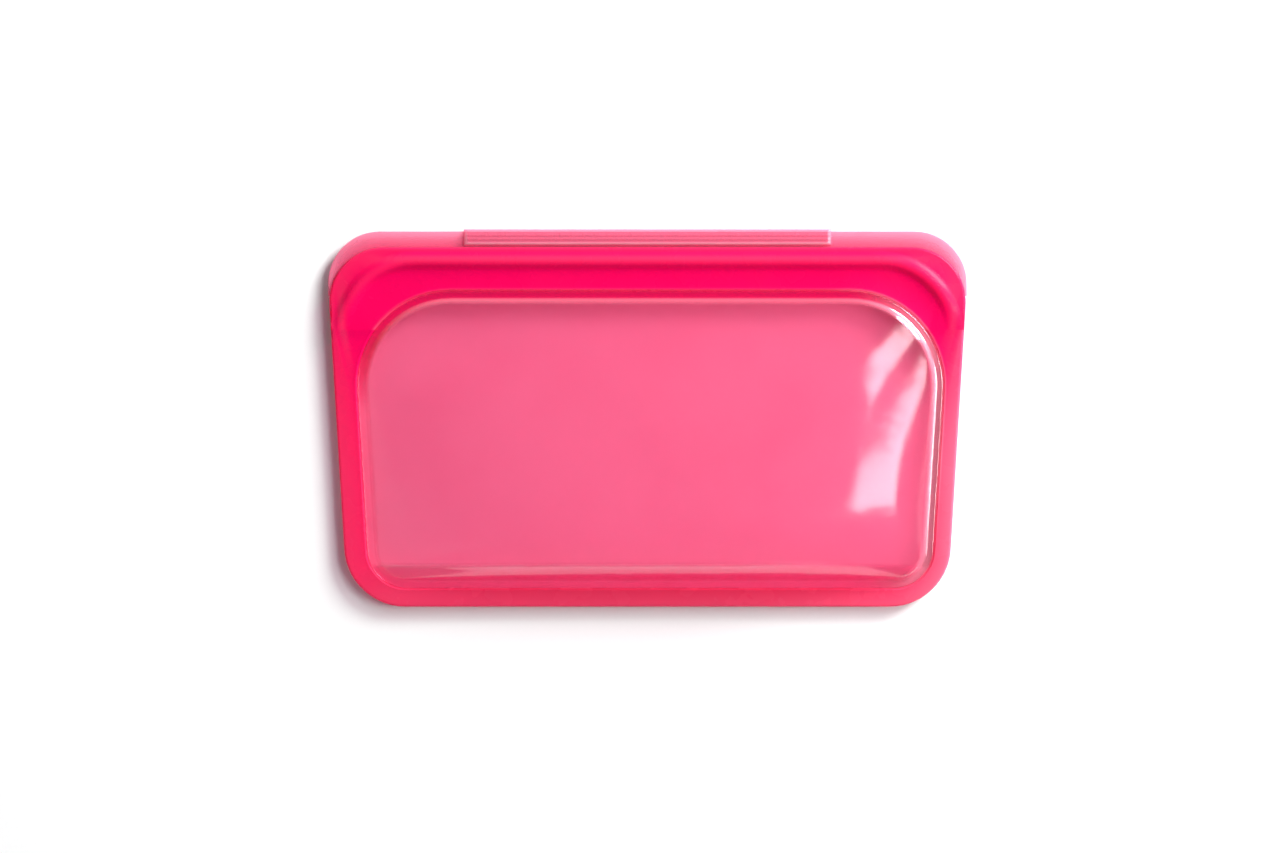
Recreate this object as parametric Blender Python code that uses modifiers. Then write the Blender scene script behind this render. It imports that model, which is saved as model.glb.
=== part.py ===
"""Reusable silicone bag, snack size, lying flat on its rear half with its mouth pressed shut.

X runs along the mouth, +Y points from the pouch to the mouth, and +Z is up through the thickness.
The origin is on the surface that the bag lies on, under the middle of the bag. Sizes are in metres.
Both halves are thin films with a thick moulded band round the mouth, and a fused border joins them
along the sides and the bottom. The mouth bends open about the line where that border begins.
"""

import math

import bmesh
import bpy
from mathutils import Vector

# Overall sizes
LIP_SPAN = 0.1905            # across the lips, the widest part of the bag
BAG_HEIGHT = 0.1125          # from the bottom border to the edge of the grips
MOUTH_DEPTH = 0.030          # from the edge of the grips down to where the fused border begins
FILM_PUFF = 0.0165           # how far the front film stands above its rim in the middle
CLEARANCE = 0.0003           # between neighbouring mouldings

# Fused border
BORDER_STEP = 0.00085        # how far its upper ends stand in from the sides of the mouth
SIDE_LEAN = 0.0059           # how far each of its sides has leant in at the bottom
BORDER_CORNER = 0.017
SIDE_BORDER = 0.0060
BOTTOM_BORDER = 0.0052

# Mouth
BAND_THICKNESS = 0.0018      # of one half, and half of the border's thickness
BAND_DEPTH = 0.0128          # from the lips down to the window
BAND_CORNER = 0.0175
LIP_DEPTH = 0.0048           # from the band to the lip's edge
LIP_CORNER = 0.0155
LIP_LEG = 0.0198             # from the edge of the grips down to where the lips run out
LIP_THICKNESS = 0.0009

# Pinch seal, along the band's outer edge but rounder at the corners
SEAL_INSET = 0.0040
SEAL_CORNER = 0.022          # of the middle of the rib
RIB_WIDTH = 0.0018
RIB_HEIGHT = 0.0013
BEAD_WALL = 0.0011           # beside the groove
BEAD_ROOF = 0.0013           # over the groove

# Ridged pull tabs
GRIP_LENGTH = 0.1095
GRIP_OVERHANG = 0.0006       # past the lip's edge
GRIP_BASE = 0.0003
GRIP_RIDGE = 0.00025
GRIP_RIDGES = 4

# Film windows
FILM_THICKNESS = 0.0010
WINDOW_TOP_CORNER = 0.030
WINDOW_BOTTOM_CORNER = 0.011
FILM_SINK = 0.0005           # how far the front film's rim lies below the face of the border
LEAN_RIGHT = 0.15            # how much more the film puffs towards +X, as a share of FILM_PUFF
LEAN_DOWN = 0.35             # the same, towards the bottom border
FILM_COLUMNS = 30
FILM_ROWS = 18

ARC_STEP = math.radians(9)   # angle between the points of a rounded corner
CUTTER_MARGIN = 0.02         # how far cutters run past what they cut

# Heights and lines that follow from the sizes above
TOP_EDGE = BAG_HEIGHT / 2
BOTTOM_EDGE = -BAG_HEIGHT / 2
HINGE_LINE = TOP_EDGE - MOUTH_DEPTH
LIP_FOOT = TOP_EDGE - LIP_LEG
LIP_EDGE = TOP_EDGE - GRIP_OVERHANG
BAND_EDGE = LIP_EDGE - LIP_DEPTH
WINDOW_TOP = BAND_EDGE - BAND_DEPTH
WINDOW_BOTTOM = BOTTOM_EDGE + BOTTOM_BORDER
REAR_GRIP_DEPTH = LIP_THICKNESS + CLEARANCE + GRIP_BASE + GRIP_RIDGE
REAR_FACE = max(0.0, REAR_GRIP_DEPTH - BAND_THICKNESS)   # a thick rear grip lifts the bag
REAR_TOP = REAR_FACE + BAND_THICKNESS
FRONT_BOTTOM = REAR_TOP + CLEARANCE
FRONT_TOP = FRONT_BOTTOM + BAND_THICKNESS
FILM_RIM_TOP = FRONT_TOP - FILM_SINK


def clear_scene():
    for obj in list(bpy.data.objects):
        bpy.data.objects.remove(obj, do_unlink=True)


def new_collection(name):
    collection = bpy.data.collections.new(name)
    bpy.context.scene.collection.children.link(collection)
    return collection


def silicone(name, colour, alpha, roughness):
    """One finish of the silicone: a Principled surface with no metal in it."""
    material = bpy.data.materials.new(name)
    material.use_nodes = True
    shader = material.node_tree.nodes["Principled BSDF"]
    shader.inputs["Base Color"].default_value = (*colour, 1.0)
    shader.inputs["Alpha"].default_value = alpha
    shader.inputs["Roughness"].default_value = roughness
    shader.inputs["Metallic"].default_value = 0.0
    material.diffuse_color = (*colour, alpha)
    return material


# Outlines ---------------------------------------------------------------------------------------


def rounded(corners):
    """Points round a convex polygon given as (x, y, corner radius), counter-clockwise."""
    points = []
    for index, (x, y, radius) in enumerate(corners):
        corner = Vector((x, y))
        if not radius:
            points.append(corner)
            continue
        back = (Vector(corners[index - 1][:2]) - corner).normalized()
        ahead = (Vector(corners[(index + 1) % len(corners)][:2]) - corner).normalized()
        half = back.angle(ahead) / 2
        centre = corner + (back + ahead).normalized() * radius / math.sin(half)
        spoke = corner + back * radius / math.tan(half) - centre
        turn = math.pi - 2 * half
        steps = math.ceil(turn / ARC_STEP)
        for step in range(steps + 1):
            angle = turn * step / steps
            points.append(centre + Vector((
                spoke.x * math.cos(angle) - spoke.y * math.sin(angle),
                spoke.x * math.sin(angle) + spoke.y * math.cos(angle),
            )))
    return points


def border_side(y):
    """Half of the border's span at height y: its sides lean in towards the bottom."""
    share = (y - BOTTOM_EDGE) / (HINGE_LINE - BOTTOM_EDGE)
    return LIP_SPAN / 2 - SIDE_LEAN + (SIDE_LEAN - BORDER_STEP) * share


def border_outline():
    top = HINGE_LINE - CLEARANCE
    return rounded([
        (-border_side(BOTTOM_EDGE), BOTTOM_EDGE, BORDER_CORNER),
        (border_side(BOTTOM_EDGE), BOTTOM_EDGE, BORDER_CORNER),
        (border_side(top), top, 0),
        (-border_side(top), top, 0),
    ])


def window_outline(inset=0.0):
    low, high = WINDOW_BOTTOM + inset, WINDOW_TOP - inset
    low_side = border_side(low) - SIDE_BORDER - inset
    high_side = border_side(high) - SIDE_BORDER - inset
    return rounded([
        (-low_side, low, WINDOW_BOTTOM_CORNER - inset),
        (low_side, low, WINDOW_BOTTOM_CORNER - inset),
        (high_side, high, WINDOW_TOP_CORNER - inset),
        (-high_side, high, WINDOW_TOP_CORNER - inset),
    ])


def arch_outline(low_side, high_side, top, corner, foot):
    """An arch between its foot and its top, which has rounded corners."""
    return rounded([
        (-low_side, foot, 0),
        (low_side, foot, 0),
        (high_side, top, corner),
        (-high_side, top, corner),
    ])


def band_outline(grow=0.0):
    """The band's outer edge, moved outwards; its legs carry on the border's leaning sides."""
    foot, top = HINGE_LINE - CUTTER_MARGIN, BAND_EDGE + grow
    sides = border_side(foot) + grow, border_side(top) + grow
    return arch_outline(*sides, top, BAND_CORNER + grow, foot)


def seal_outline(grow, foot=HINGE_LINE - CUTTER_MARGIN):
    """The middle of the seal, moved outwards."""
    side, top = LIP_SPAN / 2 - SEAL_INSET + grow, BAND_EDGE - SEAL_INSET + grow
    return arch_outline(side, side, top, SEAL_CORNER + grow, foot)


def lip_outline():
    return arch_outline(LIP_SPAN / 2, LIP_SPAN / 2, LIP_EDGE, LIP_CORNER, LIP_FOOT)


# Solids -----------------------------------------------------------------------------------------


def plate(name, outline, low, high, collection):
    """A flat moulding: the outline between two heights, as a mesh."""
    curve = bpy.data.curves.new(name + "_outline", "CURVE")
    curve.dimensions = "2D"
    curve.fill_mode = "BOTH"
    curve.extrude = (high - low) / 2
    spline = curve.splines.new("POLY")
    spline.points.add(len(outline) - 1)
    for point, (x, y) in zip(spline.points, outline):
        point.co = (x, y, 0, 1)
    spline.use_cyclic_u = True
    guide = bpy.data.objects.new(name + "_outline", curve)
    guide.location.z = (low + high) / 2
    collection.objects.link(guide)
    graph = bpy.context.evaluated_depsgraph_get()
    mesh = bpy.data.meshes.new_from_object(guide.evaluated_get(graph))
    bm = bmesh.new()
    bm.from_mesh(mesh)
    bmesh.ops.remove_doubles(bm, verts=bm.verts, dist=1e-6)
    bmesh.ops.recalc_face_normals(bm, faces=bm.faces)
    bm.to_mesh(mesh)
    bm.free()
    obj = bpy.data.objects.new(name, mesh)
    obj.matrix_world = guide.matrix_world
    bpy.data.objects.remove(guide)
    collection.objects.link(obj)
    return obj


def cutter(name, outline, low=-CUTTER_MARGIN, high=CUTTER_MARGIN):
    """A plate in the cutters' collection, drawn as wire and left out of renders."""
    obj = plate(name, outline, low, high, bpy.data.collections["cutters"])
    obj.hide_render = True
    obj.display_type = "WIRE"
    return obj


def combine(obj, other, operation="DIFFERENCE"):
    modifier = obj.modifiers.new(f"{operation.lower()} {other.name}", "BOOLEAN")
    modifier.operation = operation
    modifier.object = other


def finish(obj, material, pivot=None):
    """Gives the object its material and hangs it on the empty that it bends about."""
    obj.data.materials.append(material)
    if pivot:
        obj.parent = pivot
        obj.location -= pivot.location


def edge_seam(parts, material):
    obj = plate("edge_seam", border_outline(), REAR_FACE, FRONT_TOP, parts)
    combine(obj, cutter("window_cutter", window_outline()))
    finish(obj, material)


def seal_band(name, low, high, parts):
    """The thick arch between the window and the lips, on one half."""
    obj = plate(name, band_outline(), low, high, parts)
    combine(obj, bpy.data.objects["window_cutter"])
    return obj


def seal_ribbon(name, width, low, high, make):
    """An arch of constant width that follows the seal; make draws it as a part or as a cutter."""
    ribbon = make(name, seal_outline(width / 2), low, high)
    inner = seal_outline(-width / 2, HINGE_LINE - 2 * CUTTER_MARGIN)
    combine(ribbon, cutter(name + "_inside", inner))
    return ribbon


def foot_cutter():
    """What cuts the legs of every arch at the hinge line."""
    side, far = LIP_SPAN, HINGE_LINE - 3 * CUTTER_MARGIN
    corners = [(-side, far), (side, far), (side, HINGE_LINE), (-side, HINGE_LINE)]
    return cutter("foot_cutter", [Vector(corner) for corner in corners])


def front_seal_band(parts, material, pivot):
    """The front band, with the bead that stands on it and the groove under the bead."""
    obj = seal_band("front_seal_band", FRONT_BOTTOM, FRONT_TOP, parts)
    groove = RIB_WIDTH + 2 * CLEARANCE
    ceiling = FRONT_BOTTOM + RIB_HEIGHT + CLEARANCE
    bead_low = FRONT_TOP - BAND_THICKNESS / 2
    bead = seal_ribbon("bead", groove + 2 * BEAD_WALL, bead_low, ceiling + BEAD_ROOF, cutter)
    combine(obj, bead, "UNION")
    combine(obj, seal_ribbon("groove", groove, FRONT_BOTTOM - CUTTER_MARGIN, ceiling, cutter))
    combine(obj, bpy.data.objects["foot_cutter"])
    finish(obj, material, pivot)


def rear_seal_band(parts, material, pivot):
    obj = seal_band("rear_seal_band", REAR_FACE, REAR_TOP, parts)
    combine(obj, bpy.data.objects["foot_cutter"])
    finish(obj, material, pivot)


def seal_rib(parts, material, pivot):
    """The male rib: it stands on the rear band and fills the groove but for the clearance."""
    def in_parts(name, outline, low, high):
        return plate(name, outline, low, high, parts)

    top = FRONT_BOTTOM + RIB_HEIGHT
    obj = seal_ribbon("seal_rib", RIB_WIDTH, FRONT_BOTTOM, top, in_parts)
    combine(obj, bpy.data.objects["foot_cutter"])
    finish(obj, material, pivot)


def lip(name, low, high, parts, material, pivot):
    obj = plate(name, lip_outline(), low, high, parts)
    combine(obj, bpy.data.objects["band_cutter"])
    finish(obj, material, pivot)


def grip(name, face, outward, parts, material, pivot):
    """A strip with ridges along X, seated a clearance off the lip's face on its outward side."""
    near = BAND_EDGE + 2 * CLEARANCE
    pitch = (TOP_EDGE - near) / GRIP_RIDGES
    seat = face + outward * CLEARANCE
    crest = seat + outward * (GRIP_BASE + GRIP_RIDGE)
    valley = seat + outward * GRIP_BASE
    profile = [(TOP_EDGE, seat), (near, seat)]
    for ridge in range(GRIP_RIDGES):
        profile.append((near + ridge * pitch, valley))
        profile.append((near + (ridge + 0.5) * pitch, crest))
    profile.append((TOP_EDGE, valley))
    obj = plate(name, profile, -GRIP_LENGTH / 2, GRIP_LENGTH / 2, parts)
    obj.rotation_euler = (math.pi / 2, 0, math.pi / 2)
    finish(obj, material, pivot)


# Films ------------------------------------------------------------------------------------------


def reach(outline, centre, direction):
    """How far the outline is from its centre in a direction."""
    best = 0.0
    for start, end in zip(outline, outline[1:] + outline[:1]):
        edge = end - start
        across = direction.x * edge.y - direction.y * edge.x
        if abs(across) < 1e-12:
            continue
        to_start = start - centre
        distance = (to_start.x * edge.y - to_start.y * edge.x) / across
        along = (to_start.x * direction.y - to_start.y * direction.x) / across
        if distance > 0 and -1e-9 <= along <= 1 + 1e-9:
            best = max(best, distance)
    return best


def film_lift(x, y, ring):
    """Height of the puffed film above its rim; ring is 0 in the middle and 1 at the rim."""
    middle = (WINDOW_TOP + WINDOW_BOTTOM) / 2
    right = x / (border_side(middle) - SIDE_BORDER)
    up = (y - middle) / (WINDOW_TOP - middle)
    return FILM_PUFF * (1 - ring ** 4) * (1 + LEAN_RIGHT * right - LEAN_DOWN * up)


def front_panel(parts, material):
    """The domed film: a grid fitted into the window, raised in the middle and given its wall."""
    bpy.ops.mesh.primitive_grid_add(x_subdivisions=FILM_COLUMNS, y_subdivisions=FILM_ROWS, size=2)
    obj = bpy.context.active_object
    obj.name = obj.data.name = "front_panel"
    for collection in obj.users_collection:
        collection.objects.unlink(obj)
    parts.objects.link(obj)
    outline = window_outline(CLEARANCE)
    centre = Vector((0, (WINDOW_TOP + WINDOW_BOTTOM) / 2))
    half_width = max(point.x for point in outline)
    half_height = max(point.y for point in outline) - centre.y
    for vertex in obj.data.vertices:
        across, up = vertex.co.x, vertex.co.y
        ring = max(abs(across), abs(up))
        offset = Vector((across * half_width, up * half_height))
        if ring > 1e-6:
            direction = offset.normalized()
            offset = direction * ring * reach(outline, centre, direction)
        x, y = centre + offset
        vertex.co = (x, y, FILM_RIM_TOP + film_lift(x, y, ring))
    wall = obj.modifiers.new("wall", "SOLIDIFY")
    wall.thickness = FILM_THICKNESS
    wall.offset = -1
    finish(obj, material)


def rear_panel(parts, material):
    film_top = REAR_FACE + FILM_THICKNESS
    finish(plate("rear_panel", window_outline(CLEARANCE), REAR_FACE, film_top, parts), material)


# Whole bag --------------------------------------------------------------------------------------


def pivot_empty(name, height, parts):
    """An empty on the line that one half of the mouth bends about."""
    empty = bpy.data.objects.new(name, None)
    empty.location = (0, HINGE_LINE, height)
    empty.empty_display_size = 0.02
    parts.objects.link(empty)
    return empty


def main():
    clear_scene()
    parts = new_collection("reusable_silicone_bag")
    new_collection("cutters")
    film = silicone("clear film", (0.90, 0.12, 0.26), 0.55, 0.18)
    thick = silicone("thick silicone", (0.90, 0.004, 0.075), 0.92, 0.35)
    thin = silicone("lip silicone", (0.93, 0.10, 0.22), 0.75, 0.30)
    front_mouth = pivot_empty("front_mouth_pivot", FRONT_TOP, parts)
    rear_mouth = pivot_empty("rear_mouth_pivot", REAR_FACE, parts)

    foot_cutter()
    edge_seam(parts, thick)
    rear_panel(parts, film)
    front_panel(parts, film)
    rear_seal_band(parts, thick, rear_mouth)
    seal_rib(parts, thick, rear_mouth)
    front_seal_band(parts, thick, front_mouth)

    cutter("band_cutter", band_outline(CLEARANCE))
    rear_lip_bottom = REAR_TOP - LIP_THICKNESS
    front_lip_top = FRONT_BOTTOM + LIP_THICKNESS
    lip("rear_lip", rear_lip_bottom, REAR_TOP, parts, thin, rear_mouth)
    lip("front_lip", FRONT_BOTTOM, front_lip_top, parts, thin, front_mouth)
    grip("rear_grip", rear_lip_bottom, -1, parts, thin, rear_mouth)
    grip("front_grip", front_lip_top, 1, parts, thin, front_mouth)


main()
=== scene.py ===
"""Looks of the reusable silicone bag: moulded band, bead, lips, ridged grips and domed film.

X runs along the mouth, +Y points from the pouch to the mouth, +Z is up. Sizes are in metres.
"""

import math

import bmesh
import bpy
from bpy.props import FloatProperty, FloatVectorProperty, IntProperty, PointerProperty
from mathutils import Matrix, Vector, noise
from mathutils.bvhtree import BVHTree


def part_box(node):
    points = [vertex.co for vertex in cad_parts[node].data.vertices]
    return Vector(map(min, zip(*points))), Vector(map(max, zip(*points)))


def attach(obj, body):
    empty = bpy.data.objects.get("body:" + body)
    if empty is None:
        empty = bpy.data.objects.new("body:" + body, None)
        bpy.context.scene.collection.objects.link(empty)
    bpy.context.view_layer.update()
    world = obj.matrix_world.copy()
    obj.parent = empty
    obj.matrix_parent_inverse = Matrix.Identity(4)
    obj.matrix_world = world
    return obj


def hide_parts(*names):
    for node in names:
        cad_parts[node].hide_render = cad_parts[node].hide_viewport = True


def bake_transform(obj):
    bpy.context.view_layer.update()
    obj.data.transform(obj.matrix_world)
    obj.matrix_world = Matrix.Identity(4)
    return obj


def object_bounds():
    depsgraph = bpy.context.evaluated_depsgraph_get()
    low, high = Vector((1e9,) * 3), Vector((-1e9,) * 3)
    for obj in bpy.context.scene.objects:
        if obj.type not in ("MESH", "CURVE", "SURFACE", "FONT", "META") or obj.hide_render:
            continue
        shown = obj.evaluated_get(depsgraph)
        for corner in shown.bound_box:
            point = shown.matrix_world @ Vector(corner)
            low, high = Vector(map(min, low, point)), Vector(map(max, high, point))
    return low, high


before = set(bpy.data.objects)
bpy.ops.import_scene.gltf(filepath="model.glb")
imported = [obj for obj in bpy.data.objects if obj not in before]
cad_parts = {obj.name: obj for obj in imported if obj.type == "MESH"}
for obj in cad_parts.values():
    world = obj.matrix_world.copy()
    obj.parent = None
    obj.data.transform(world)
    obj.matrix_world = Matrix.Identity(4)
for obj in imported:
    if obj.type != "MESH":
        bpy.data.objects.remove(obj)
cad_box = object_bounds()

bl_info = {
    "name": "Reusable Silicone Bag",
    "version": (1, 0, 0),
    "blender": (4, 5, 0),
    "location": "View3D > Sidebar > Silicone Bag",
    "description": "Builds the moulded pieces of a reusable silicone bag and its studio",
    "category": "Add Mesh",
}

MERGE_DISTANCE = 1e-7

BORDER_LOW, BORDER_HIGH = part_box("edge_seam")
WINDOW_LOW, WINDOW_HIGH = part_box("front_panel")
REAR_FILM_LOW, REAR_FILM_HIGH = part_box("rear_panel")
FRONT_BAND_LOW, FRONT_BAND_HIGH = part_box("front_seal_band")
REAR_BAND_LOW, REAR_BAND_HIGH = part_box("rear_seal_band")
RIB_LOW, RIB_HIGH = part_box("seal_rib")
FRONT_LIP_LOW, FRONT_LIP_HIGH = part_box("front_lip")
REAR_LIP_LOW, REAR_LIP_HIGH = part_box("rear_lip")
FRONT_GRIP_LOW, FRONT_GRIP_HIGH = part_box("front_grip")
REAR_GRIP_LOW, REAR_GRIP_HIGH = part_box("rear_grip")

HINGE_LINE = FRONT_BAND_LOW.y
BORDER_TOP = BORDER_HIGH.z
WINDOW_MIDDLE = (WINDOW_LOW.y + WINDOW_HIGH.y) / 2
UP = Vector((0, 0, 1))


def length(name, default, description):
    return FloatProperty(name=name, description=description, default=default, unit="LENGTH")


def share(name, default, description):
    return FloatProperty(
        name=name, description=description, default=default, min=0.0, max=1.0, subtype="FACTOR"
    )


def tint(name, default, description):
    return FloatVectorProperty(
        name=name, description=description, default=default, size=3, min=0.0, max=1.0,
        subtype="COLOR",
    )


# Sizes and colours ------------------------------------------------------------------------------


class BagSizes(bpy.types.PropertyGroup):
    """Sizes of the moulded details; the overall sizes come from the frame."""

    corner_steps: IntProperty(
        name="Corner steps", description="Segments in each rounded corner", default=14
    )
    long_cuts: IntProperty(
        name="Long side cuts", description="Cuts along the mouth and the bottom", default=44
    )
    short_cuts: IntProperty(
        name="Short side cuts", description="Cuts along each side of the bag", default=22
    )
    side_lean: length("Side lean", 0.0059, "How far each side has leant in at the bottom")
    border_step: length("Border step", 0.00085, "How far the border stands in from the mouth")
    border_corner: length("Border corner", 0.017, "Radius of the border's bottom corners")
    side_border: length("Side border", 0.0060, "Width of the border beside the window")
    edge_round: length("Edge rounding", 0.0008, "Rounding of the outer moulded edges")
    window_top_corner: length("Window top corner", 0.030, "Radius next to the mouth")
    window_shift: length("Window shift", 0.0008, "How far the full side pulls the window over")
    window_bottom_corner: length("Window bottom corner", 0.011, "Radius at the bottom")
    window_round: length("Window edge rounding", 0.0005, "Rounding of the band beside the film")
    rim_ring: length("Rim ring", 0.0006, "Width of the ring of faces beside that rounding")
    band_corner: length("Band corner", 0.0175, "Outer radius of the thick band")
    seal_corner: length("Seal corner", 0.022, "Radius of the middle of the bead")
    lip_corner: length("Lip corner", 0.0155, "Outer radius of the lips")
    lip_round: length("Lip rounding", 0.00035, "Rounding of the lips' edges")
    seal_inset: length("Seal inset", 0.0040, "From the band's edge to the middle of the bead")
    bead_width: length("Bead width", 0.0062, "Width of the bead over the seal")
    rib_width: length("Rib width", 0.0018, "Width of the rib inside the seal")
    run_out: length("Run-out", 0.010, "How far each outline of the mouth runs past the next one")
    bead_taper: length("Bead taper", 0.0130, "Over how much of its ends the bead dies away")
    rib_gap: length("Rib gap", 0.0003, "Space between the rib and its groove")
    ledge: length("Film ledge", 0.0022, "Flat margin of the film beside the band")
    film_wall: length("Film wall", 0.0009, "Thickness of the film")
    right_reach: length("Right reach", 0.016, "How far from the right side the film is full")
    left_reach: length("Left reach", 0.026, "How far from the left side the film is full")
    mouth_reach: length("Mouth reach", 0.034, "How far from the mouth the film is full")
    bottom_reach: length("Bottom reach", 0.0075, "How far from the bottom the film is full")
    film_wave: length("Film wave", 0.0008, "Height of the film's soft waves")
    wave_along: length("Wave length", 0.030, "Size of those waves along the mouth")
    wave_across: length("Wave width", 0.020, "Size of those waves across the bag")
    film_sink: length("Film sink", 0.0005, "From the border's top down to the film's rim")
    film_fold: length("Film fold", 0.0012, "Height of the fold where the film leaves its rim")
    fold_reach: length("Fold reach", 0.0007, "How far from the rim that fold rises")
    film_peak: length("Film peak", 0.0195, "Height of the fullest part of the film over its rim")
    middle_share: share("Middle share", 0.84, "Share of that height at the window's middle")
    right_rise: share("Right rise", 0.18, "Share of that height that the right side adds")
    mouth_fall: share("Mouth fall", 0.14, "Share of that height that the mouth's side loses")
    crease_up: length("Crease place", 0.0068, "From the window's bottom up to the crease")
    crease_height: length("Crease height", 0.0003, "Height of the crease over the film")
    crease_width: length("Crease width", 0.0007, "Half of the crease's width")
    fit: length("Fit", 0.00005, "Gap between the film and the band")
    blend_length: length("Blend length", 0.0120, "How far the mouth bends from the hinge line")


class BagColours(bpy.types.PropertyGroup):
    """Colours and clearness of the silicone."""

    film_clear: tint("Film, seen through", (0.995, 0.812, 0.883), "What one thin face lets by")
    ledge_clear: tint("Ledge, seen through", (0.99, 0.42, 0.70), "The film's thick margin")
    band_clear: tint("Band, seen through", (0.99, 0.26, 0.69), "What one thick face lets by")
    # The band is paled towards the bead colours by its painted highlight lines and crest, and by
    # the thinner silicone at its rounded edges.
    bead_clear: tint("Bead, seen through", (0.992, 0.68, 0.83), "The lighter bead")
    lip_clear: tint("Lip, seen through", (0.997, 0.83, 0.90), "What one face of a lip lets by")
    film_body: tint("Film body", (0.90, 0.13, 0.27), "Colour of the film's own haze")
    band_body: tint("Band body", (1.0, 0.001, 0.14), "Colour of the thick silicone")
    bead_body: tint("Bead body", (1.0, 0.085, 0.21), "Colour of the lighter bead")
    lip_body: tint("Lip body", (0.98, 0.19, 0.36), "Colour of the lips")
    # Pale colour of the painted highlights on rims, folds and edges and of painted light on the
    # right-hand parts; the grips also take a little of it as a pale tone.
    pale_and_painted_light: tint("Frost", (1.0, 0.62, 0.70), "Colour of pale worn and folded edges")
    film_haze: share("Film haze", 0.085, "How milky one face of the film is")
    band_haze: share("Band haze", 0.50, "How milky one face of the thick silicone is")
    lip_haze: share("Lip haze", 0.24, "How milky one face of a lip is")


class StageSizes(bpy.types.PropertyGroup):
    """Camera, floor and lights."""

    camera_height: length("Camera height", 0.90, "Camera above the floor")
    frame_width: length("Frame width", 0.3828, "Width of the floor that the camera sees")
    frame_right: length("Frame centre across", -0.00224, "Middle of the frame along X")
    frame_up: length("Frame centre up", -0.00254, "Middle of the frame along Y")
    floor_span: length("Floor span", 6.0, "Side of the square floor")
    floor_gap: length("Floor gap", 0.0001, "Gap between the bag and the floor")
    key_power: FloatProperty(name="Key power", description="Low wide softbox, watts", default=95)
    glint_power: FloatProperty(
        name="Glint power", description="Tall narrow softbox, watts", default=5.2
    )
    small_glint_power: FloatProperty(
        name="Small glint power", description="Small softbox beside the tall one, watts",
        default=1.82,
    )
    fill_power: FloatProperty(name="Fill power", description="Fill light in watts", default=3.0)
    room_light: FloatProperty(
        name="Room light", description="Brightness of the room's walls", default=0.29
    )


def sizes():
    return bpy.context.scene.silicone_bag_sizes


def colours():
    return bpy.context.scene.silicone_bag_colours


def stage_sizes():
    return bpy.context.scene.silicone_bag_stage


# Outlines and rings -----------------------------------------------------------------------------


def side_at(y):
    """Half of the border's span at height y: its sides lean in towards the bottom."""
    s = sizes()
    rise = (y - BORDER_LOW.y) / (HINGE_LINE - BORDER_LOW.y)
    return FRONT_LIP_HIGH.x - s.side_lean + (s.side_lean - s.border_step) * rise


def border_corners(grow=0.0):
    """The border's outer edge, carried up past the window so that it closes."""
    s = sizes()
    low, high = BORDER_LOW.y - grow, FRONT_BAND_HIGH.y + grow
    low_side, high_side = side_at(low) + grow, side_at(high) + grow
    radii = (s.border_corner + grow, s.band_corner + grow)
    return frame_corners(low_side, high_side, low, high, *radii)


def window_corners(grow=0.0):
    s = sizes()
    low, high = WINDOW_LOW.y - grow, WINDOW_HIGH.y + grow
    low_side = side_at(low) - s.side_border + grow
    high_side = side_at(high) - s.side_border + grow
    radii = (s.window_bottom_corner + grow, s.window_top_corner + grow)
    corners = frame_corners(low_side, high_side, low, high, *radii)
    return [(x + s.window_shift, y, radius) for x, y, radius in corners]


def band_corners(grow=0.0):
    """The band's outer edge, which carries on the border's leaning sides."""
    s = sizes()
    low, high = BORDER_LOW.y - 2 * s.run_out, FRONT_BAND_HIGH.y + grow
    radius = s.band_corner + grow
    return frame_corners(side_at(low) + grow, side_at(high) + grow, low, high, radius, radius)


def seal_corners(grow=0.0):
    """The middle of the seal, moved outwards."""
    s = sizes()
    side = FRONT_LIP_HIGH.x - s.seal_inset + grow
    high, radius = FRONT_BAND_HIGH.y - s.seal_inset + grow, s.seal_corner + grow
    return frame_corners(side, side, BORDER_LOW.y - s.run_out, high, radius, radius)


def lip_corners():
    s = sizes()
    side, low = FRONT_LIP_HIGH.x, BORDER_LOW.y - 3 * s.run_out
    return frame_corners(side, side, low, FRONT_LIP_HIGH.y, s.lip_corner, s.lip_corner)


def frame_corners(low_side, high_side, low, high, low_radius, high_radius):
    """Four corners as (x, y, radius), counter-clockwise from the bottom left."""
    return [
        (-low_side, low, low_radius),
        (low_side, low, low_radius),
        (high_side, high, high_radius),
        (-high_side, high, high_radius),
    ]


def outline_face(bm, corners, height):
    """A flat face with rounded corners and evenly divided sides."""
    s = sizes()
    points = [bm.verts.new((x, y, height)) for x, y, _ in corners]
    face = bm.faces.new(points)
    for point, (_, _, radius) in zip(points, corners):
        bmesh.ops.bevel(
            bm, geom=[point], offset=radius, offset_type="OFFSET", segments=s.corner_steps,
            profile=0.5, affect="VERTICES", material=-1,
        )
    face = next(f for f in bm.faces if all(edge.is_boundary for edge in f.edges))
    shortest_side = 2 * max(radius for _, _, radius in corners) / s.corner_steps
    for edge in list(face.edges):
        start, end = (v.co for v in edge.verts)
        if edge.calc_length() > shortest_side:
            along_mouth = abs(end.x - start.x) > abs(end.y - start.y)
            cuts = s.long_cuts if along_mouth else s.short_cuts
            bmesh.ops.bisect_edges(bm, edges=[edge], cuts=cuts)
    face.normal_update()
    return face


def climb(bm, face, steps):
    """Insets the face again and again by (inwards, upwards) steps."""
    for inwards, upwards in steps:
        bmesh.ops.inset_individual(
            bm, faces=[face], thickness=inwards, depth=upwards, use_even_offset=True
        )


def rounded_over(radius, count=4):
    """Steps over a convex edge, from upright to level."""
    turns = [math.pi / 2 * k / count for k in range(count + 1)]
    return [
        (radius * (math.cos(a) - math.cos(b)), radius * (math.sin(b) - math.sin(a)))
        for a, b in zip(turns, turns[1:])
    ]


def rounded_down(radius, count=4):
    """Steps over a convex edge, from level to upright."""
    return [(up, -inwards) for inwards, up in reversed(rounded_over(radius, count))]


def turned_over(steps):
    """The same steps for a face that looks down."""
    return [(inwards, -upwards) for inwards, upwards in steps]


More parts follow.
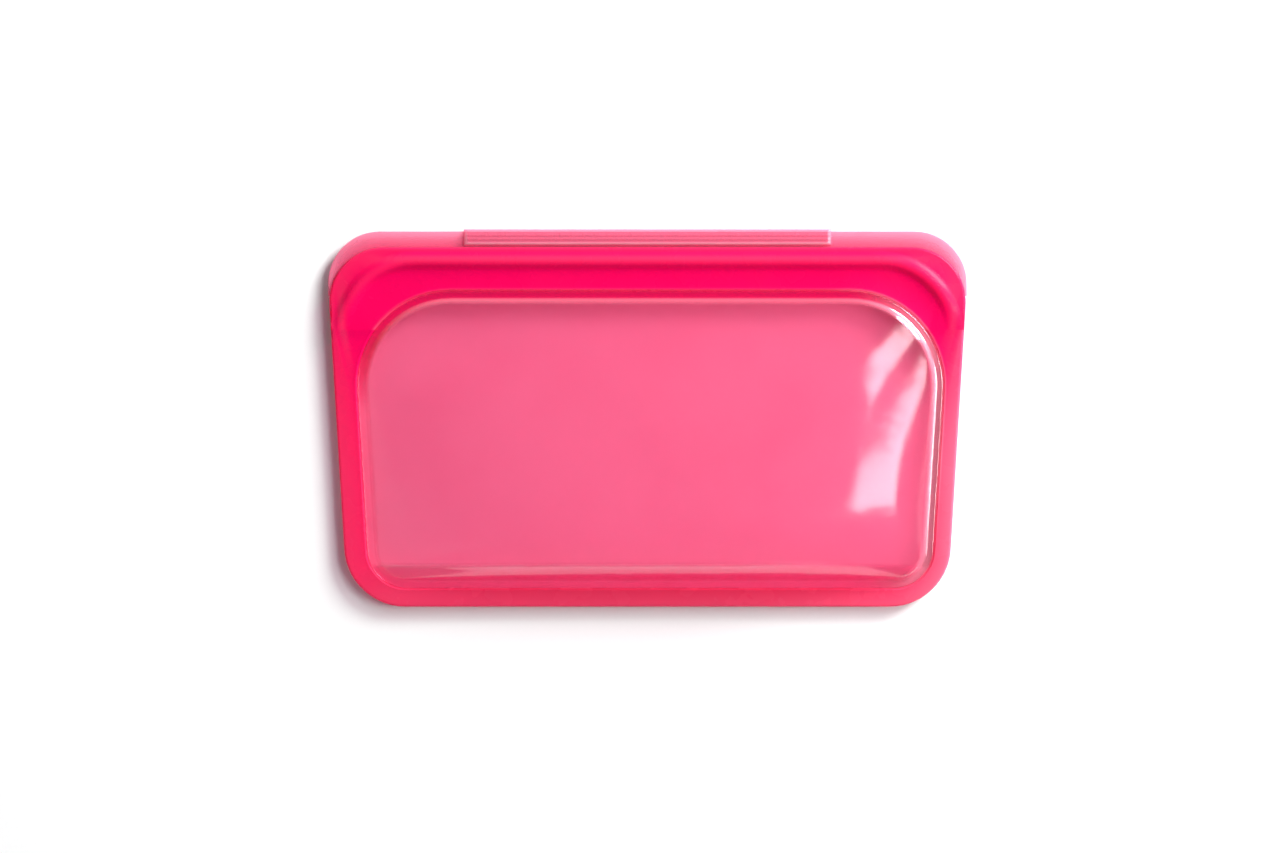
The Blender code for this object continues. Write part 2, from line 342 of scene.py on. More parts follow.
def hump(width, height, count=12, fullness=0.75):
    """Steps over a rounded ridge."""
    crest = [height * math.sin(math.pi * k / count) ** fullness for k in range(count + 1)]
    crest[-1] = 0.0
    return [(width / count, b - a) for a, b in zip(crest, crest[1:])]


def moulded_ring(*runs, under=()):
    """A closed ring from its outer base, over and back under.

    Each run is an outline, the height it starts at and its (inwards, upwards) steps. Runs follow
    each other inwards and are bridged, then come the ones on the underside, back to the first.
    """
    bm = bmesh.new()
    starts, ends = [], []
    for corners, height, steps in (*runs, *under):
        face = outline_face(bm, corners, height)
        climb(bm, face, steps)
        ends.append(list(face.edges))
        bmesh.ops.delete(bm, geom=[face], context="FACES_ONLY")
        known = {edge for loop in starts + ends for edge in loop}
        starts.append([e for e in bm.edges if e.is_boundary and e not in known])
    for k in range(len(runs), len(starts)):
        starts[k], ends[k] = ends[k], starts[k]
    for end, start in zip(ends, starts[1:] + starts[:1]):
        join_loops(bm, end, start)
    bmesh.ops.remove_doubles(bm, verts=bm.verts, dist=MERGE_DISTANCE)
    return bm


def join_loops(bm, first, second):
    """Draws the first loop out to the second, corner to corner however far apart they are."""
    drawn = bmesh.ops.extrude_edge_only(bm, edges=first)["geom"]
    edge_type = bmesh.types.BMEdge
    rim = [part for part in drawn if isinstance(part, edge_type) and part.is_boundary]
    for point, target in zip(in_order(rim), in_order(second)):
        point.co = target.co


def in_order(loop):
    """The loop's vertices counter-clockwise, from the left end of its bottom side."""
    edges = set(loop)
    points = {v for edge in edges for v in edge.verts}
    floor = min(v.co.y for v in points) + 1e-6
    here = min((v for v in points if v.co.y < floor), key=lambda v: v.co.x)
    along = max((e for e in here.link_edges if e in edges),
                key=lambda e: e.other_vert(here).co.x)
    order = []
    while edges:
        order.append(here)
        edges.discard(along)
        here = along.other_vert(here)
        along = next((e for e in here.link_edges if e in edges), None)
    return order


def keep_side(bm, line, above):
    """Cuts the ring at a line across the bag, keeps one side of it and closes the ends."""
    cut = bmesh.ops.bisect_plane(
        bm, geom=[*bm.verts, *bm.edges, *bm.faces], dist=MERGE_DISTANCE, plane_co=(0, line, 0),
        plane_no=(0, 1, 0), clear_inner=above, clear_outer=not above,
    )
    edges = [e for e in cut["geom_cut"] if isinstance(e, bmesh.types.BMEdge)]
    bmesh.ops.holes_fill(bm, edges=edges, sides=0)


def make_piece(name, bm, material, smooth_angle=math.radians(40)):
    """Turns the finished bmesh into a smooth-shaded object."""
    bmesh.ops.remove_doubles(bm, verts=bm.verts, dist=MERGE_DISTANCE)
    bmesh.ops.recalc_face_normals(bm, faces=bm.faces)
    mesh = bpy.data.meshes.new(name)
    bm.to_mesh(mesh)
    bm.free()
    mesh.polygons.foreach_set("use_smooth", [True] * len(mesh.polygons))
    mesh.set_sharp_from_angle(angle=smooth_angle)
    mesh.materials.append(material)
    obj = bpy.data.objects.new(name, mesh)
    bpy.context.scene.collection.objects.link(obj)
    return obj


def paint(obj, name, value):
    """Stores value(point) on every vertex, for the material to read."""
    attribute = obj.data.attributes.new(name, "FLOAT", "POINT")
    values = [min(1.0, max(0.0, value(v.co))) for v in obj.data.vertices]
    attribute.data.foreach_set("value", values)


def fade(value, start, end):
    """0 before start, 1 after end, smooth between."""
    t = min(1.0, max(0.0, (value - start) / (end - start)))
    return t * t * (3 - 2 * t)


def bell(value, middle, width):
    return math.exp(-(((value - middle) / width) ** 2))


def painted_highlight_line(distance):
    """A painted highlight: the pale line that runs along the band and the border, by distance from
    the edge.
    """
    return 0.40 * bell(distance, sizes().seal_inset * 0.85, 0.0010)


def thin_edge(distance):
    """How much less deep the thick silicone is at its rounded outer edge."""
    return 0.4 * bell(distance, 0.0, 0.0013)


def rim_highlight(distance):
    """A painted highlight: the pale line along the window's edge, by distance from it."""
    return bell(distance, 0.0002, 0.00035)


def edge_measure(corners):
    """A function giving a point's distance from an outline, along the floor."""
    bm = bmesh.new()
    face = outline_face(bm, corners, 0.0)
    points = [v.co.copy() for v in face.verts]
    bm.free()
    count = len(points)
    walls = points + [p + UP for p in points]
    quads = [(i, (i + 1) % count, (i + 1) % count + count, i + count) for i in range(count)]
    tree = BVHTree.FromPolygons([p - UP / 2 for p in walls], quads)

    def measure(point):
        return tree.find_nearest(Vector((point.x, point.y, 0)))[3]

    return measure


# Materials --------------------------------------------------------------------------------------


def node(tree, kind, values=None, **settings):
    made = tree.nodes.new(kind)
    for key, value in settings.items():
        setattr(made, key, value)
    for key, value in (values or {}).items():
        socket = made.inputs[key]
        if isinstance(value, bpy.types.NodeSocket):
            tree.links.new(value, socket)
        else:
            socket.default_value = value
    return made


def mix_colour(tree, factor, first, second):
    made = node(tree, "ShaderNodeMix", data_type="RGBA")
    for socket, value in zip(
        [s for s in made.inputs if s.enabled and s.name in ("Factor", "A", "B")],
        (factor, first, second),
    ):
        if isinstance(value, bpy.types.NodeSocket):
            tree.links.new(value, socket)
        else:
            socket.default_value = (*value, 1.0) if len(value) == 3 else value
    return next(s for s in made.outputs if s.enabled)


def sum_of(tree, *terms):
    """Adds sockets and numbers."""
    total = terms[0]
    for term in terms[1:]:
        total = node(tree, "ShaderNodeMath", {0: total, 1: term}, operation="ADD").outputs[0]
    return total


def times(tree, first, second):
    return node(tree, "ShaderNodeMath", {0: first, 1: second}, operation="MULTIPLY").outputs[0]


def silicone(name, clear, deep_clear, body, deep_body, haze, deep_haze, gloss):
    """See-through silicone: tinted by its wall attribute, which holds depth with some painted shade
    and painted highlights in it. It is made pale where painted highlights, painted light and the
    grips' pale tone are stored.
    """
    material = bpy.data.materials.new(name)
    material.use_nodes = True
    tree = material.node_tree
    tree.nodes.clear()
    place = node(tree, "ShaderNodeTexCoord").outputs["Object"]
    wall = node(tree, "ShaderNodeAttribute", attribute_name="wall").outputs["Fac"]
    # Painted highlights and painted light from the right, plus the grips' pale tone.
    pale_and_painted_light = node(tree, "ShaderNodeAttribute", attribute_name="pale_and_painted_light").outputs["Fac"]
    clouds = node(
        tree, "ShaderNodeTexNoise", {"Vector": place, "Scale": 38.0, "Detail": 2.0}
    ).outputs["Fac"]
    ripple = node(
        tree, "ShaderNodeTexNoise", {"Vector": place, "Scale": 160.0, "Detail": 2.0}
    ).outputs["Fac"]
    satin = node(
        tree, "ShaderNodeTexNoise", {"Vector": place, "Scale": 2400.0, "Detail": 1.0}
    ).outputs["Fac"]
    uneven = node(
        tree, "ShaderNodeMapRange", {"Value": clouds, "To Min": -0.05, "To Max": 0.05}
    ).outputs["Result"]
    depth = node(
        tree, "ShaderNodeMath", {0: wall, 1: uneven}, operation="ADD", use_clamp=True
    ).outputs[0]
    through = mix_colour(tree, depth, clear, deep_clear)
    solid_colour = mix_colour(tree, pale_and_painted_light, mix_colour(tree, depth, body, deep_body),
                              tuple(colours().pale_and_painted_light))
    glance = node(tree, "ShaderNodeLayerWeight", {"Blend": 0.3}).outputs["Facing"]
    milky = sum_of(
        tree,
        node(tree, "ShaderNodeMapRange", {"Value": depth, "To Min": haze, "To Max": deep_haze})
        .outputs["Result"],
        times(tree, pale_and_painted_light, 0.45),
        times(tree, glance, gloss["glance"]),
    )
    rough = node(
        tree, "ShaderNodeMapRange",
        {"Value": ripple, "To Min": gloss["rough"] - 0.03, "To Max": gloss["rough"] + 0.05},
    ).outputs["Result"]
    coarse = node(
        tree, "ShaderNodeBump", {"Height": ripple, "Strength": 0.16, "Distance": 0.0006}
    ).outputs["Normal"]
    grained = node(
        tree, "ShaderNodeBump",
        {"Height": satin, "Strength": 0.05, "Distance": 0.0001, "Normal": coarse},
    ).outputs["Normal"]
    shader = node(
        tree, "ShaderNodeBsdfPrincipled",
        {"Base Color": solid_colour, "Roughness": rough, "Normal": grained,
         "IOR": gloss["ior"], "Specular IOR Level": gloss["specular"]},
    )
    clear_shader = node(tree, "ShaderNodeBsdfTransparent", {"Color": through})
    mixed = node(
        tree, "ShaderNodeMixShader",
        {0: milky, 1: clear_shader.outputs[0], 2: shader.outputs[0]},
    )
    node(tree, "ShaderNodeOutputMaterial", {"Surface": mixed.outputs[0]})
    return material


def film_silicone():
    c = colours()
    return bpy.data.materials.get("film silicone") or silicone(
        "film silicone", c.film_clear, c.ledge_clear, c.film_body, c.band_body,
        c.film_haze, c.band_haze, {"rough": 0.13, "ior": 2.3, "specular": 1.0, "glance": 0.14},
    )


def thick_silicone():
    c = colours()
    return bpy.data.materials.get("thick silicone") or silicone(
        "thick silicone", c.bead_clear, c.band_clear, c.bead_body, c.band_body,
        c.band_haze * 0.8, c.band_haze, {"rough": 0.26, "ior": 1.5, "specular": 0.2, "glance": 0.2},
    )


def lip_silicone():
    c = colours()
    return bpy.data.materials.get("lip silicone") or silicone(
        "lip silicone", c.lip_clear, c.bead_clear, c.lip_body, c.band_body,
        c.lip_haze, c.band_haze * 0.6, {"rough": 0.28, "ior": 1.7, "specular": 0.6, "glance": 0.4},
    )


# Pieces -----------------------------------------------------------------------------------------


class Piece:
    """Shared by the operators that build the bag."""

    bl_options = {"REGISTER", "UNDO"}

    def bend(self, obj, mouth):
        """Bakes the piece's placement into its mesh."""
        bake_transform(obj)


class BAG_OT_border(Piece, bpy.types.Operator):
    """Fused border along the sides and the bottom"""

    bl_idname = "silicone_bag.border"
    bl_label = "Border"

    def execute(self, context):
        s = sizes()
        middle = BORDER_TOP / 2
        base = middle + s.fit
        rise = BORDER_TOP - base
        over = [(0, rise - s.edge_round), *rounded_over(s.edge_round)]
        inner = [(s.rim_ring, 0), *rounded_down(s.window_round), (0, s.window_round - rise)]
        bm = moulded_ring(
            (border_corners(), base, over),
            (window_corners(s.window_round + s.rim_ring), BORDER_TOP, inner),
        )
        bmesh.ops.mirror(
            bm, geom=[*bm.verts, *bm.edges, *bm.faces], axis="Z",
            matrix=Matrix.Translation((0, 0, -middle)),
        )
        keep_side(bm, HINGE_LINE, above=False)
        obj = make_piece("border", bm, thick_silicone())
        inside = edge_measure(border_corners())
        beside_film = edge_measure(window_corners())

        # How far towards the right side a point lies; the light falls from the right.
        def right_share(p):
            return fade(p.x, -0.090, 0.090)

        def wall(p):
            distance = inside(p)
            mouthward = fade(p.y, -0.020, HINGE_LINE)
            # Painted light: the border is painted deeper on the left, away from the light, and
            # paler on the right, towards it.
            shade_left_lit_right = 0.48 * fade(-p.x, 0.075, 0.088) - 0.42 * right_share(p)
            depth = 0.20 + 0.80 * mouthward + (1 - mouthward) * shade_left_lit_right
            # A painted highlight line along the border, fainter away from the mouth.
            line = painted_highlight_line(distance) * (0.4 + 0.6 * mouthward)
            return depth - line - thin_edge(distance)

        paint(obj, "wall", wall)

        def pale_and_painted_light(p):
            # Painted light and highlights: paler low on the right, a pale outer edge on the right
            # and a bright line beside the film on the right.
            low_right = fade(p.x, 0.070, 0.088) * (1 - fade(p.y, -0.020, 0.020))
            outer = 0.10 * right_share(p) * bell(inside(p), 0.0, 0.0015)
            line = 0.40 * fade(p.x, 0.076, 0.086) * rim_highlight(beside_film(p))
            return 0.10 * low_right + outer + line * fade(p.y, -0.040, -0.010)

        paint(obj, "pale_and_painted_light", pale_and_painted_light)
        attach(obj, "pouch")
        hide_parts("edge_seam")
        return {"FINISHED"}


class BAG_OT_bands(Piece, bpy.types.Operator):
    """Thick bands of both halves of the mouth, the front one with its bead"""

    bl_idname = "silicone_bag.bands"
    bl_label = "Seal bands"

    def execute(self, context):
        s = sizes()
        self.front_band(s)
        self.rear_band(s)
        return {"FINISHED"}

    def front_band(self, s):
        low, plate = FRONT_BAND_LOW.z, BORDER_TOP
        thick = plate - low
        edge = [(0, thick - s.edge_round), *rounded_over(s.edge_round)]
        bead = hump(s.bead_width, FRONT_BAND_HIGH.z - plate, fullness=1.4)
        groove_width = s.rib_width + 2 * s.rib_gap
        groove_depth = RIB_HIGH.z + s.rib_gap - low
        groove = [(0, groove_depth), (groove_width, 0), (0, -groove_depth)]
        inner = [(s.rim_ring, 0), *rounded_down(s.window_round), (0, s.window_round - thick)]
        bm = moulded_ring(
            (band_corners(), low, edge), (seal_corners(s.bead_width / 2), plate, bead),
            (window_corners(s.window_round + s.rim_ring), plate, inner),
            under=[(seal_corners(groove_width / 2), low, groove)],
        )
        keep_side(bm, HINGE_LINE, above=True)
        for v in bm.verts:
            if v.co.z > plate:
                v.co.z = plate + (v.co.z - plate) * bead_share(v.co.y)
        obj = make_piece("front_band", bm, thick_silicone())
        from_edge = edge_measure(band_corners())
        from_seal = edge_measure(seal_corners())
        beside_film = edge_measure(window_corners())

        def wall(p):
            distance = from_edge(p)
            # Painted highlights: the pale line and a paler crest along the bead. The rounded outer
            # edge is paler for its thinner silicone.
            crest = 0.20 * bell(from_seal(p), 0.0, 0.0012) * bead_share(p.y)
            return 1.0 - painted_highlight_line(distance) - crest - thin_edge(distance)

        paint(obj, "wall", wall)

        def pale_and_painted_light(p):
            full_side = fade(p.x, 0.050, 0.075)
            # A painted highlight along the window's edge, stronger on the right side.
            return (0.12 + 0.42 * full_side) * rim_highlight(beside_film(p))

        paint(obj, "pale_and_painted_light", pale_and_painted_light)
        self.bend(obj, "front_mouth")
        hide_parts("front_seal_band")

    def rear_band(self, s):
        base, far = REAR_BAND_HIGH.z, REAR_BAND_LOW.z
        thick = base - far
        over = turned_over([(0, thick - s.edge_round), *rounded_over(s.edge_round)])
        inner = turned_over([*rounded_down(s.window_round), (0, s.window_round - thick)])
        bm = moulded_ring(
            (band_corners(), base, over), (window_corners(s.window_round), far, inner)
        )
        keep_side(bm, HINGE_LINE, above=True)
        obj = make_piece("rear_band", bm, thick_silicone())
        from_seal = edge_measure(seal_corners())
        paint(obj, "wall", lambda p: 1.0 - 0.5 * bell(from_seal(p), 0.0, 0.0022))
        paint(obj, "pale_and_painted_light", lambda p: 0.0)
        self.bend(obj, "rear_mouth")
        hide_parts("rear_seal_band")


class BAG_OT_rib(Piece, bpy.types.Operator):
    """Rib of the pinch seal, on the rear half"""

    bl_idname = "silicone_bag.rib"
    bl_label = "Seal rib"

    def execute(self, context):
        s = sizes()
        height = RIB_HIGH.z - RIB_LOW.z
        upright = height * 0.35
        over = [
            (0, upright), *hump(s.rib_width, height - upright, 8, 0.6), (0, -upright),
        ]
        bm = moulded_ring((seal_corners(s.rib_width / 2), RIB_LOW.z, over))
        keep_side(bm, HINGE_LINE, above=True)
        obj = make_piece("rib", bm, thick_silicone())
        paint(obj, "wall", lambda p: 0.1)
        paint(obj, "pale_and_painted_light", lambda p: 0.0)
        self.bend(obj, "rear_mouth")
        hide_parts("seal_rib")
        return {"FINISHED"}


class BAG_OT_lips(Piece, bpy.types.Operator):
    """Thin lips beyond the bands"""

    bl_idname = "silicone_bag.lips"
    bl_label = "Lips"

    def execute(self, context):
        self.lip("front_lip_skin", "front_lip", FRONT_LIP_LOW, FRONT_LIP_HIGH, 1, "front_mouth")
        self.lip("rear_lip_skin", "rear_lip", REAR_LIP_LOW, REAR_LIP_HIGH, -1, "rear_mouth")
        return {"FINISHED"}

    def lip(self, name, cad_name, low, high, outward, mouth):
        s = sizes()
        thick = high.z - low.z
        base = low.z if outward > 0 else high.z
        far = high.z if outward > 0 else low.z
        over = [(0, thick - s.lip_round), *rounded_over(s.lip_round)]
        inner = [(0, -thick)]
        if outward < 0:
            over, inner = turned_over(over), turned_over(inner)
        bm = moulded_ring((lip_corners(), base, over), (band_corners(s.fit), far, inner))
        keep_side(bm, low.y, above=True)
        obj = make_piece(name, bm, lip_silicone())
        inside = edge_measure(lip_corners())
        paint(obj, "wall", lambda p: 0.20 * fade(inside(p), 0.0015, 0.0045))
        # Painted light: the lips are paler towards the right. A painted highlight runs along their
        # rounded outer edge.
        paint(obj, "pale_and_painted_light", lambda p: 0.05 * fade(p.x, 0.060, 0.090)
              + 0.30 * bell(inside(p), 0.0006, 0.0012))
        self.bend(obj, mouth)
        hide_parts(cad_name)


class BAG_OT_grips(Piece, bpy.types.Operator):
    """Pull tabs on the lips, with faint ridges"""

    bl_idname = "silicone_bag.grips"
    bl_label = "Grips"

    long_steps: IntProperty(name="Long steps", description="Divisions along a grip", default=160)
    short_steps: IntProperty(name="Short steps", description="Divisions across a grip", default=32)
    ridges: IntProperty(name="Ridges", description="Faint ridges along each grip", default=4)
    rounding: length("Rounding", 0.0009, "Rounding of the grips' edges")
    upright_share: share("Upright share", 0.4, "Share of a grip's height below its rounding")
    ridge_share: share("Ridge share", 0.15, "Share of a grip's height in its ridges")

    def execute(self, context):
        self.grip("front_grip_skin", "front_grip", (FRONT_GRIP_LOW, FRONT_GRIP_HIGH), "front_mouth")
        self.grip("rear_grip_skin", "rear_grip", (REAR_GRIP_LOW, REAR_GRIP_HIGH), "rear_mouth")
        return {"FINISHED"}

    def grip(self, name, cad_name, box, body):
        low, high = box
        span = high - low
        outward = 1 if body == "front_mouth" else -1
        face = FRONT_LIP_HIGH.z if outward > 0 else REAR_LIP_LOW.z
        tall = abs((high.z if outward > 0 else low.z) - face)
        rounded_share = 1 - self.upright_share - self.ridge_share
        bm = bmesh.new()
        grid = bmesh.ops.create_grid(
            bm, x_segments=self.long_steps, y_segments=self.short_steps, size=0.5
        )
        bmesh.ops.scale(bm, vec=(span.x, span.y, 1), verts=grid["verts"])
        middle = Vector(((low.x + high.x) / 2, (low.y + high.y) / 2, face))
        bmesh.ops.translate(bm, vec=middle, verts=grid["verts"])
        raised = bmesh.ops.extrude_face_region(bm, geom=list(bm.faces))

        def from_edge(p):
            return min(p.x - low.x, high.x - p.x, p.y - low.y, high.y - p.y)

        for v in raised["geom"]:
            if isinstance(v, bmesh.types.BMVert):
                over = min(1.0, from_edge(v.co) / self.rounding)
                rounded = math.sqrt(1 - (1 - over) ** 2)
                along = (v.co.y - low.y) / span.y
                ridge = self.ridge_share * math.sin(math.pi * self.ridges * along) ** 2
                height = self.upright_share + rounded * (rounded_share + ridge)
                v.co.z = face + outward * tall * height
        obj = make_piece(name, bm, lip_silicone())
        paint(obj, "wall", lambda p: 0.0)
        # A pale tone on the whole grip, and a painted highlight along its rounded edges except the
        # top one.
        paint(obj, "pale_and_painted_light", lambda p: 0.12 + 0.5 * bell(from_edge(p), 0.0005, 0.0003)
              * (1 - fade(p.y, high.y - 0.001, high.y)))
        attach(obj, body)
        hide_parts(cad_name)


class BAG_OT_films(Piece, bpy.types.Operator):
    """Domed front film and flat rear film"""

    bl_idname = "silicone_bag.films"
    bl_label = "Films"

    near_rings: IntProperty(name="Near rings", description="Rings beside the rim", default=22)
    far_rings: IntProperty(name="Far rings", description="Rings over the dome", default=26)
    near_reach: length("Near reach", 0.0090, "How far the near rings reach from the rim")

    def execute(self, context):
        self.front_film()
        self.rear_film()
        return {"FINISHED"}

    def web(self, height):
        """A level web of rings over the whole window, close together beside the rim."""
        s = sizes()
        bm = bmesh.new()
        face = outline_face(bm, window_corners(-s.fit), height)
        climb(bm, face, [(self.near_reach / self.near_rings, 0)] * self.near_rings)
        centre = Vector((0, WINDOW_MIDDLE, height))
        for ring in range(self.far_rings, 1, -1):
            bmesh.ops.inset_individual(bm, faces=[face], thickness=0, depth=0)
            bmesh.ops.scale(
                bm, vec=((ring - 1) / ring,) * 3, verts=list(face.verts),
                space=Matrix.Translation(-centre),
            )
        bmesh.ops.poke(bm, faces=[face])
        return bm

    def front_film(self):
        s = sizes()
        rim = BORDER_TOP - s.film_sink
        bm = self.web(rim)
        from_rim = edge_measure(window_corners())
        for v in bm.verts:
            v.co.z = rim + film_rise(v.co, from_rim(v.co))
        obj = make_piece("front_film", bm, film_silicone(), math.radians(180))
        steep = {v.index: 1 - abs(v.normal.z) for v in obj.data.vertices}
        slopes = obj.data.attributes.new("wall", "FLOAT", "POINT")
        distances = [from_rim(v.co) for v in obj.data.vertices]
        # Deeper tint on steep film for its longer path. Below the crease it is partly that and
        # partly painted shade.
        slopes.data.foreach_set("value", [
            min(1.0, at_mouth(v.co) * (1 - fade(distances[v.index], s.ledge, s.ledge + 0.0005))
                + 0.20 * steep[v.index] + 0.45 * below_crease(v.co))
            for v in obj.data.vertices
        ])

        def pale_and_painted_light(p):
            # Painted highlights: on the fold beside the rim, strongest at the mouth and on the
            # right, along the crease above the bottom, and a bright margin on the right side.
            fold = bell(from_rim(p), s.ledge + 0.0006, 0.0005)
            full_side = fade(p.x, 0.060, 0.084)
            line = 0.30 * bell(p.y - WINDOW_LOW.y, s.crease_up, 0.0006) * crease_share(p.x)
            margin = 0.45 * full_side * bell(from_rim(p), 0.0012, 0.0016)
            return (0.42 * at_mouth(p) + 0.30 * full_side) * fold + line + margin

        paint(obj, "pale_and_painted_light", pale_and_painted_light)
        add_wall(obj, s.film_wall)
        self.bend(obj, "front_mouth")
        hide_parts("front_panel")

    def rear_film(self):
        s = sizes()
        bm = self.web(REAR_FILM_HIGH.z)
        obj = make_piece("rear_film", bm, film_silicone(), math.radians(180))
        from_rim = edge_measure(window_corners())
        margin_end = s.ledge + 0.0010
        paint(obj, "wall", lambda p: at_mouth(p) * (1 - fade(from_rim(p), s.ledge, margin_end)))
        paint(obj, "pale_and_painted_light", lambda p: 0.0)
        add_wall(obj, REAR_FILM_HIGH.z - REAR_FILM_LOW.z)
        self.bend(obj, "rear_mouth")
        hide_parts("rear_panel")


def bead_share(y):
    """How much of the bead's height is left at y: it dies away towards the hinge line."""
    return fade(y, HINGE_LINE, HINGE_LINE + sizes().bead_taper)


def at_mouth(point):
    """1 beside the mouth's band and 0 beside the border."""
    return fade(point.y, 0.0, 0.030)


def below_crease(point):
    """1 on the steep film between the border and the crease above it."""
    up = point.y - WINDOW_LOW.y
    return 1 - fade(up, sizes().crease_up - 0.0008, sizes().crease_up + 0.0004)


def crease_share(x):
    """How strongly the fold above the bottom shows at x."""
    return fade(x, -0.084, -0.074) * (1 - fade(x, 0.028, 0.050))


def add_wall(obj, thickness):
    """Gives an upward-facing sheet its wall, downwards."""
    wall = obj.modifiers.new("wall", "SOLIDIFY")
    wall.thickness = thickness
    wall.offset = -1


def film_rise(point, from_rim):
    """The puffed film over its rim: fullest low on the right, falling away to the mouth."""
    s = sizes()
    x, y = point.x, point.y
    inside = from_rim - s.ledge
    if inside <= 0:
        return 0.0
    side = side_at(y) - s.side_border - s.ledge
    up = y - WINDOW_LOW.y
    rises = (
        (side - x, s.right_reach), (side + x, s.left_reach),
        (WINDOW_HIGH.y - s.ledge - y, s.mouth_reach), (up - s.ledge, s.bottom_reach),
    )
    full = 1.0
    for distance, reach in rises:
        full *= 1 - math.exp(-max(0.0, distance) / reach)
    right, mouthward = x / WINDOW_HIGH.x, (y - WINDOW_MIDDLE) / WINDOW_HIGH.y
    lean = s.middle_share + s.right_rise * right - s.mouth_fall * mouthward
    wave = s.film_wave * noise.noise(Vector((x / s.wave_along, y / s.wave_across, 0.4)))
    crease = s.crease_height * bell(up, s.crease_up, s.crease_width) * crease_share(x)
    fold = s.film_fold * (1 - math.exp(-inside / s.fold_reach))
    return fold + s.film_peak * full * lean + wave * fade(inside, 0.002, 0.015) + crease


# Stage ------------------------------------------------------------------------------------------


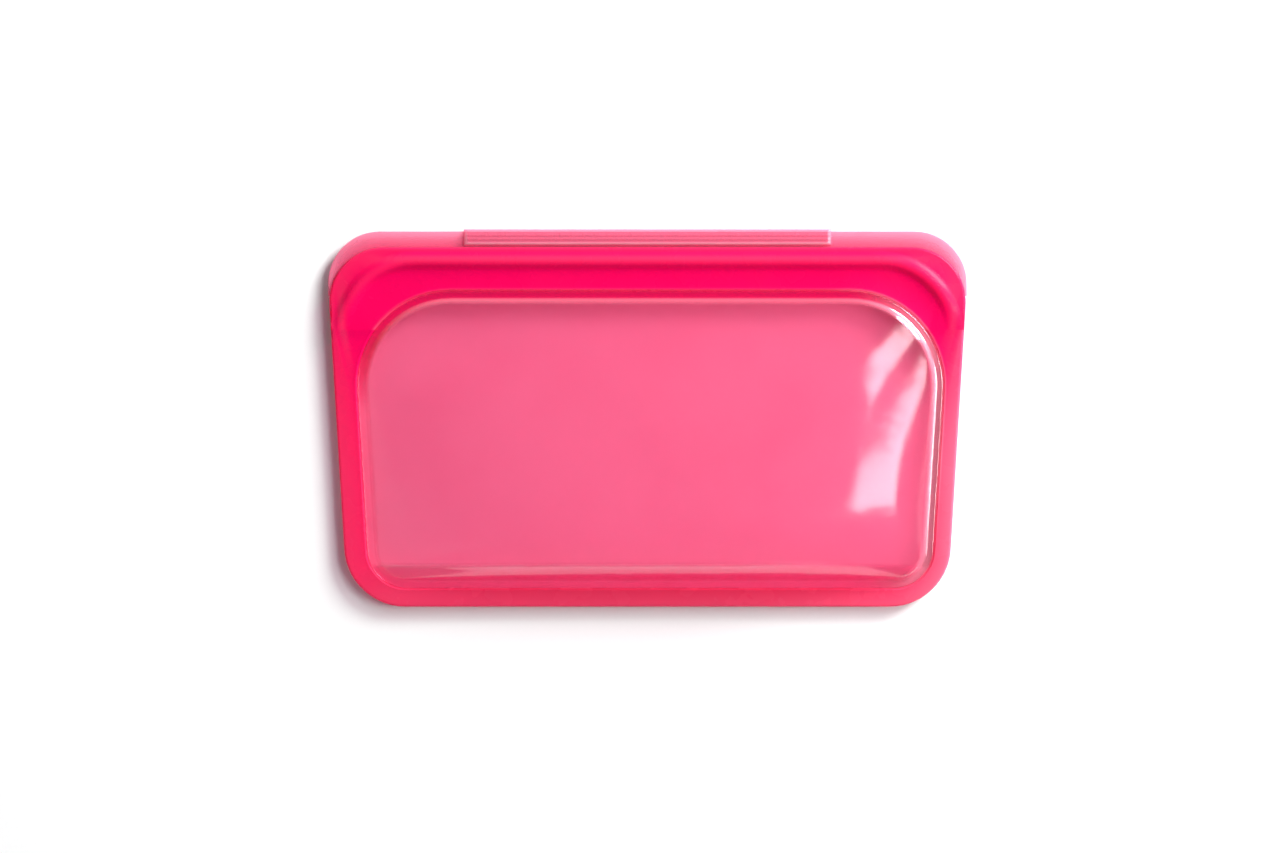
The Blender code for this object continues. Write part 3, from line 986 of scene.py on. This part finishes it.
class BAG_OT_stage(bpy.types.Operator):
    """White floor, softboxes, room light and camera"""

    bl_idname = "silicone_bag.stage"
    bl_label = "Studio"
    bl_options = {"REGISTER", "UNDO"}

    def execute(self, context):
        self.floor()
        self.lights()
        self.room()
        self.camera()
        scene = bpy.context.scene
        scene.view_settings.view_transform = "Standard"
        scene.cycles.transparent_max_bounces = 64
        return {"FINISHED"}

    def floor(self):
        s = stage_sizes()
        bm = bmesh.new()
        bmesh.ops.create_grid(bm, x_segments=1, y_segments=1, size=s.floor_span / 2)
        bmesh.ops.translate(bm, vec=(0, 0, cad_box[0].z - s.floor_gap), verts=bm.verts)
        material = bpy.data.materials.new("white paper")
        material.use_nodes = True
        tree = material.node_tree
        shader = tree.nodes["Principled BSDF"]
        grain = node(tree, "ShaderNodeTexNoise", {"Scale": 900.0, "Detail": 2.0})
        tree.links.new(
            node(tree, "ShaderNodeTexCoord").outputs["Object"], grain.inputs["Vector"]
        )
        tone = mix_colour(tree, grain.outputs["Fac"], (0.86, 0.86, 0.86), (0.88, 0.88, 0.88))
        tree.links.new(tone, shader.inputs["Base Color"])
        shader.inputs["Roughness"].default_value = 0.9
        shader.inputs["Specular IOR Level"].default_value = 0.1
        obj = make_piece("floor", bm, material)

    def softbox(self, name, turn, height, distance, span, power):
        """A softbox aimed at the bag: turn is from +X towards +Y, height above the floor."""
        turn, height = math.radians(turn), math.radians(height)
        light = bpy.data.lights.new(name, "AREA")
        light.shape = "RECTANGLE"
        light.size, light.size_y = span
        light.energy = power
        obj = bpy.data.objects.new(name, light)
        direction = Vector((
            math.cos(height) * math.cos(turn), math.cos(height) * math.sin(turn),
            math.sin(height),
        ))
        obj.location = direction * distance
        obj.rotation_euler = direction.to_track_quat("Z", "Y").to_euler()
        bpy.context.scene.collection.objects.link(obj)

    def lights(self):
        s = stage_sizes()
        self.softbox(
            "key_softbox", turn=42, height=22, distance=2.0, span=(0.9, 0.9), power=s.key_power
        )
        self.softbox(
            "tall_softbox", turn=1, height=45, distance=1.0, span=(0.26, 0.62),
            power=s.glint_power,
        )
        self.softbox(
            "small_softbox", turn=38, height=50, distance=1.0, span=(0.24, 0.20),
            power=s.small_glint_power,
        )
        self.softbox(
            "fill_softbox", turn=205, height=35, distance=2.0, span=(1.6, 1.6),
            power=s.fill_power,
        )

    def room(self):
        """Pale walls with a dark ceiling, so that level faces keep their deep colour."""
        world = bpy.data.worlds.new("studio room")
        world.use_nodes = True
        tree = world.node_tree
        tree.nodes.clear()
        direction = node(tree, "ShaderNodeTexCoord").outputs["Generated"]
        height = node(tree, "ShaderNodeSeparateXYZ", {"Vector": direction}).outputs["Z"]
        level = stage_sizes().room_light
        strength = node(
            tree, "ShaderNodeMapRange",
            {"Value": height, "From Min": 0.35, "From Max": 0.95, "To Min": level,
             "To Max": level * 0.12},
            interpolation_type="SMOOTHSTEP",
        ).outputs["Result"]
        background = node(
            tree, "ShaderNodeBackground", {"Color": (1, 1, 1, 1), "Strength": strength}
        )
        node(tree, "ShaderNodeOutputWorld", {"Surface": background.outputs[0]})
        bpy.context.scene.world = world

    def camera(self):
        s = stage_sizes()
        data = bpy.data.cameras.new("camera")
        data.sensor_width = 36.0
        data.lens = data.sensor_width * s.camera_height / s.frame_width
        obj = bpy.data.objects.new("camera", data)
        obj.location = (s.frame_right, s.frame_up, s.camera_height)
        bpy.context.scene.collection.objects.link(obj)
        bpy.context.scene.camera = obj


class BAG_PT_pieces(bpy.types.Panel):
    """Lists the pieces of the bag"""

    bl_idname = "BAG_PT_pieces"
    bl_label = "Silicone Bag"
    bl_space_type = "VIEW_3D"
    bl_region_type = "UI"
    bl_category = "Silicone Bag"

    def draw(self, context):
        for operator in OPERATORS:
            self.layout.operator(operator.bl_idname)
        for group in (sizes(), colours(), stage_sizes()):
            box = self.layout.box()
            for name in group.bl_rna.properties.keys():
                if name not in ("rna_type", "name"):
                    box.prop(group, name)


OPERATORS = (
    BAG_OT_border,
    BAG_OT_bands,
    BAG_OT_rib,
    BAG_OT_lips,
    BAG_OT_grips,
    BAG_OT_films,
    BAG_OT_stage,
)
CLASSES = (BagSizes, BagColours, StageSizes, *OPERATORS, BAG_PT_pieces)


def register():
    for cls in CLASSES:
        bpy.utils.register_class(cls)
    bpy.types.Scene.silicone_bag_sizes = PointerProperty(type=BagSizes)
    bpy.types.Scene.silicone_bag_colours = PointerProperty(type=BagColours)
    bpy.types.Scene.silicone_bag_stage = PointerProperty(type=StageSizes)


def unregister():
    del bpy.types.Scene.silicone_bag_stage
    del bpy.types.Scene.silicone_bag_colours
    del bpy.types.Scene.silicone_bag_sizes
    for cls in reversed(CLASSES):
        bpy.utils.unregister_class(cls)


def main():
    register()
    bpy.ops.silicone_bag.border()
    bpy.ops.silicone_bag.bands()
    bpy.ops.silicone_bag.rib()
    bpy.ops.silicone_bag.lips()
    bpy.ops.silicone_bag.grips()
    bpy.ops.silicone_bag.films()
    bpy.ops.silicone_bag.stage()


if __name__ == "__main__":
    main()
